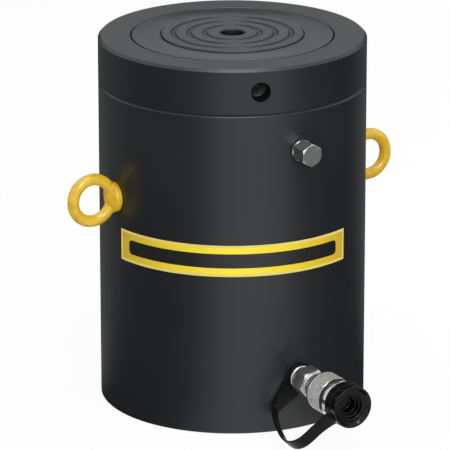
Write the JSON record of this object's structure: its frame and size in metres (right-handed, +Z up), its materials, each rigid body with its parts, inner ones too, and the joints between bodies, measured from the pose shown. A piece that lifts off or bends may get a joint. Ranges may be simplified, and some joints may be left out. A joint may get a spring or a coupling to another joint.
{
  "type": "lock nut hydraulic cylinder",
  "caption": "Single acting high tonnage hydraulic cylinder with a threaded plunger, collar lock nut, grooved saddle, lifting eyes, overflow plug and a quick coupler under a tethered dust cap.",
  "frame": {"origin": "centre of the base's underside", "axes": "+Z up along the plunger to the saddle; -Y towards the oil coupler and overflow plug; the lifting eyes lie on +X and -X"},
  "size_m": [0.4316, 0.4278, 0.435],
  "materials": {
    "body_enamel": "satin dark grey enamel over fine turning",
    "nut_enamel": "satin dark grey enamel",
    "thread_steel": "blackened turned steel",
    "saddle_steel": "hardened blackened steel, turned",
    "screw_black": "black oxide",
    "eye_yellow": "yellow enamel on a forging",
    "zinc_steel": "bright zinc plate, turned",
    "collar_steel": "bright zinc plate with a knurled grip",
    "ball_steel": "polished",
    "spring_steel": "plain",
    "copper": "soft copper",
    "bronze": "turned bronze",
    "seal_blue": "smooth polyurethane",
    "backup_white": "natural plastic",
    "bearing_green": "fabric filled plastic",
    "black_rubber": "smooth moulded rubber",
    "cap_black": "moulded, slight sheen"
  },
  "bodies": {
    "root": {"cylinder_body": "body_enamel", "guide_bush": "bronze", "rod_wiper": "seal_blue", "gland_retaining_ring": "spring_steel", "eye_bolt_left": "eye_yellow", "eye_bolt_right": "eye_yellow", "overflow_plug": "zinc_steel", "overflow_washer": "copper", "strap_ring": "black_rubber", "port_adapter": "zinc_steel", "coupler_body": "zinc_steel", "collar_retaining_ring": "spring_steel", "coupler_o_ring": "black_rubber", "valve_spring": "spring_steel", "dust_cap_strap": "black_rubber"},
    "plunger_group": {"plunger": "thread_steel", "saddle": "saddle_steel", "saddle_screw": "screw_black", "piston_bearing_ring": "bearing_green", "piston_seal": "seal_blue", "seal_backup_ring": "backup_white"},
    "nut": {"lock_nut": "nut_enamel"},
    "collar": {"coupler_collar": "collar_steel"},
    "ball": {"valve_ball": "ball_steel"},
    "cap": {"dust_cap": "cap_black", "strap_cap_ring": "black_rubber"}
  },
  "joints": [
    {"name": "lock_nut_turn", "type": "hinge", "parent": "root", "child": "nut", "pos_m": [0, 0, 0.38], "axis": [0, 0, -1], "range_deg": [0, 12000]},
    {"name": "plunger_lift", "type": "slide", "parent": "root", "child": "plunger_group", "axis": [0, 0, 1], "range_m": [0, 0.2]},
    {"name": "collar_spin", "type": "hinge", "parent": "root", "child": "collar", "pos_m": [0, -0.2275, 0.0625], "axis": [0, -1, 0], "continuous": true},
    {"name": "valve_ball_push", "type": "slide", "parent": "root", "child": "ball", "axis": [0, 1, 0], "range_m": [0, 0.003], "stiffness_N_per_m": 400, "springref_m": -0.002, "deforming": ["valve_spring"]},
    {"name": "dust_cap_pull", "type": "slide", "parent": "root", "child": "cap", "axis": [0, -1, 0], "range_m": [0, 0.025]}
  ],
  "couplings": [
    {"joint": "plunger_lift", "follows": "lock_nut_turn", "m_per_rad": 0.00095493}
  ]
}
